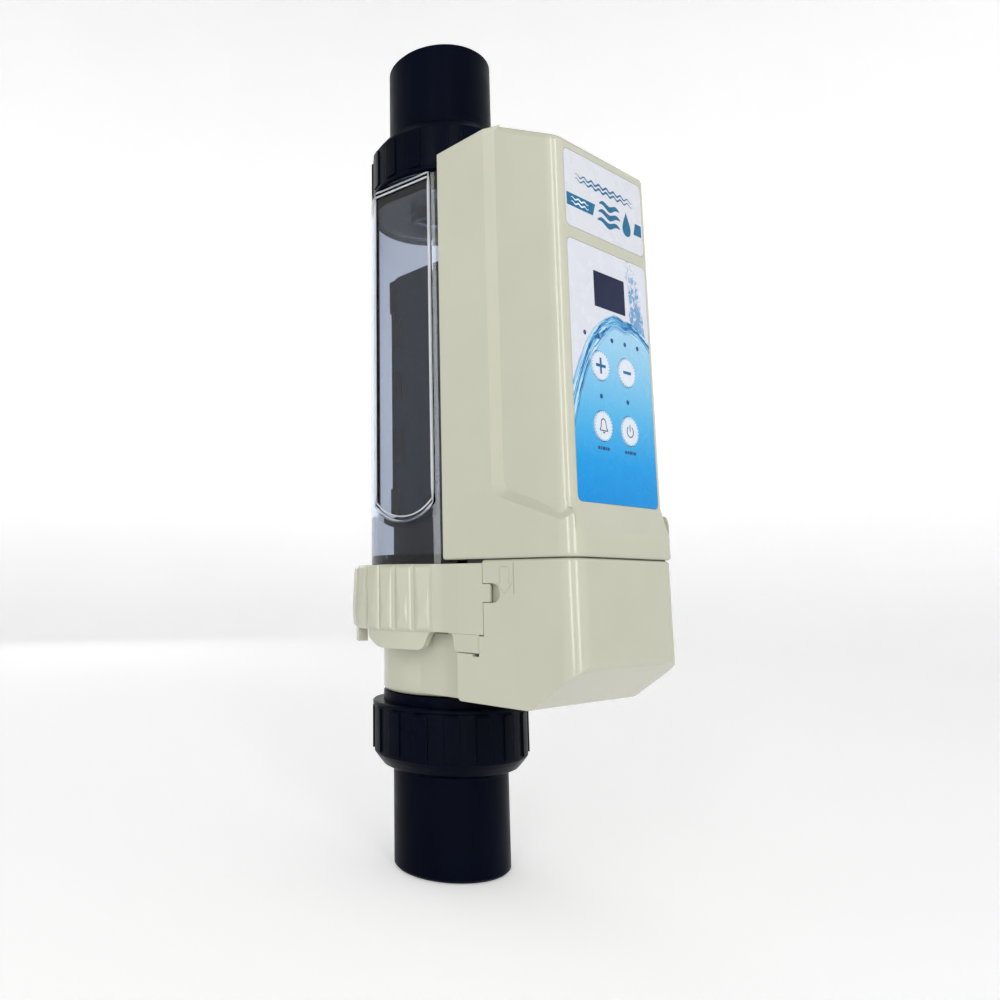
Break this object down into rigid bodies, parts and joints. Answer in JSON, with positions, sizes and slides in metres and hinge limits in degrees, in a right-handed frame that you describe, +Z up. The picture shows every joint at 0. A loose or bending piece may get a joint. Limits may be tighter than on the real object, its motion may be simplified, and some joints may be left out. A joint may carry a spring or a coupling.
{
  "type": "salt chlorine generator",
  "caption": "In-line pool chlorinator: a clear electrolytic cell between pipe unions, a clip collar at its foot and a cream control casing with a keypad in front.",
  "frame": {"origin": "centre of the inlet socket's mouth, at the bottom end of the pipe axis", "axes": "+Z up along the pipe axis from inlet to outlet, -Y towards the keypad, +X to the right of the keypad as a person facing it sees it"},
  "size_m": [0.111, 0.1636, 0.4492],
  "materials": {
    "black_pvc": "semi-gloss",
    "black_pvc_nut": "semi-gloss",
    "seal_rubber": "matte",
    "clear_cell": "clear",
    "black_insulator": "matte",
    "coated_titanium": "dark mixed-oxide coating",
    "bare_titanium": "brushed",
    "steel_fastener": "satin",
    "cream_abs": "moulded gloss",
    "white_nylon": "matte",
    "gasket_rubber": "matte",
    "name_print": "printed film",
    "keypad_print": "printed film",
    "dark_display": "smoked window",
    "circuit_board": "solder mask",
    "led_lens": "tinted",
    "button_white": "printed film",
    "core_steel": "varnished",
    "winding_wrap": "tape",
    "sink_aluminium": "extruded",
    "capacitor_sleeve": "sleeve",
    "relay_case": "matte",
    "terminal_green": "matte",
    "lead_sheath": "matte",
    "ribbon_grey": "matte"
  },
  "bodies": {
    "base": {"inlet_tailpiece": "black_pvc", "inlet_o_ring": "seal_rubber", "outlet_tailpiece": "black_pvc", "outlet_o_ring": "seal_rubber", "cell_housing": "clear_cell", "cell_base_o_ring": "seal_rubber", "electrode_head": "black_insulator", "anode_plates": "coated_titanium", "cathode_plates": "coated_titanium", "plate_combs": "black_insulator", "plate_busbars": "bare_titanium", "electrode_studs": "bare_titanium", "stud_nuts": "steel_fastener", "inlet_spigot": "black_pvc", "flow_manifold": "black_pvc", "flow_switch_body": "black_insulator", "paddle_pin": "bare_titanium", "lower_housing": "cream_abs", "mains_gland": "black_insulator", "gland_lock_nut": "black_insulator", "control_cover": "cream_abs", "control_back_plate": "cream_abs", "cover_screws": "steel_fastener", "housing_screws": "steel_fastener", "casing_gasket": "gasket_rubber", "name_label": "name_print", "keypad_overlay": "keypad_print", "display_window": "dark_display", "display_module": "black_insulator", "control_board": "circuit_board", "board_chips": "black_insulator", "status_leds": "led_lens", "tact_switches": "black_insulator", "power_board": "circuit_board", "board_standoffs": "white_nylon", "transformer_core": "core_steel", "transformer_coil": "winding_wrap", "heat_sink": "sink_aluminium", "capacitors": "capacitor_sleeve", "relay": "relay_case", "terminal_block": "terminal_green", "electrode_leads": "lead_sheath", "ribbon_cable": "ribbon_grey"},
    "inlet_nut": {"inlet_union_nut": "black_pvc_nut"},
    "outlet_nut": {"outlet_union_nut": "black_pvc_nut"},
    "collar": {"clamp_collar": "cream_abs"},
    "paddle": {"flow_paddle": "white_nylon"},
    "plus_key": {"plus_button": "button_white"},
    "minus_key": {"minus_button": "button_white"},
    "bell_key": {"bell_button": "button_white"},
    "power_key": {"power_button": "button_white"}
  },
  "joints": [
    {"name": "inlet_nut_turn", "type": "hinge", "parent": "base", "child": "inlet_nut", "pos_m": [0, 0, 0.0657], "axis": [0, 0, 1], "continuous": true},
    {"name": "outlet_nut_turn", "type": "hinge", "parent": "base", "child": "outlet_nut", "pos_m": [0, 0, 0.3835], "axis": [0, 0, 1], "continuous": true},
    {"name": "collar_slide", "type": "slide", "parent": "base", "child": "collar", "axis": [0, 1, 0], "range_m": [0, 0.06]},
    {"name": "paddle_swing", "type": "hinge", "parent": "base", "child": "paddle", "pos_m": [0, -0.0165, 0.105], "axis": [1, 0, 0], "range_deg": [0, 45]},
    {"name": "plus_press", "type": "slide", "parent": "base", "child": "plus_key", "axis": [0, 1, 0], "range_m": [0, 0.0008], "stiffness_N_per_m": 400, "springref_m": -0.001},
    {"name": "minus_press", "type": "slide", "parent": "base", "child": "minus_key", "axis": [0, 1, 0], "range_m": [0, 0.0008], "stiffness_N_per_m": 400, "springref_m": -0.001},
    {"name": "bell_press", "type": "slide", "parent": "base", "child": "bell_key", "axis": [0, 1, 0], "range_m": [0, 0.0008], "stiffness_N_per_m": 400, "springref_m": -0.001},
    {"name": "power_press", "type": "slide", "parent": "base", "child": "power_key", "axis": [0, 1, 0], "range_m": [0, 0.0008], "stiffness_N_per_m": 400, "springref_m": -0.001}
  ]
}
